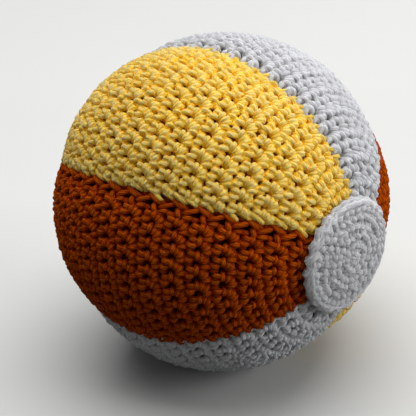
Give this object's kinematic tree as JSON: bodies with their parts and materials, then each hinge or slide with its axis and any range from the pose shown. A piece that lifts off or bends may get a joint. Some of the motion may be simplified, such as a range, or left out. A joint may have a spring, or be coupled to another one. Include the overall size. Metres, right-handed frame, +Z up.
{
  "type": "crochet ball",
  "caption": "Soft stuffed crochet ball of coloured gores sewn edge to edge, with a round crochet disc sewn over each pole; a toy to throw, roll and squeeze.",
  "frame": {"origin": "under the middle of the ball, on the surface that it rests on", "axes": "+X along the line through the two poles, +Z up, and the front orange gore faces -Y; one seam runs along the top and one along the bottom"},
  "size_m": [0.1458, 0.142, 0.1373],
  "materials": {
    "yellow_yarn": "matte plied cotton yarn, golden yellow",
    "orange_yarn": "matte plied cotton yarn, rust orange",
    "white_yarn": "matte plied cotton yarn, cool white",
    "filling": "white polyester fibre filling"
  },
  "bodies": {
    "root": {"yellow_gore_upper_front": "yellow_yarn", "orange_gore_front": "orange_yarn", "white_gore_lower_front": "white_yarn", "yellow_gore_lower_back": "yellow_yarn", "orange_gore_back": "orange_yarn", "white_gore_upper_back": "white_yarn", "seam_yarn_top": "yellow_yarn", "seam_yarn_upper_front": "yellow_yarn", "seam_yarn_lower_front": "orange_yarn", "seam_yarn_bottom": "yellow_yarn", "seam_yarn_lower_back": "yellow_yarn", "seam_yarn_upper_back": "orange_yarn", "pole_disc_right": "white_yarn", "pole_disc_left": "white_yarn", "disc_sewing_yarn_right": "white_yarn", "disc_sewing_yarn_left": "white_yarn", "fibre_filling": "filling"}
  },
  "joints": []
}
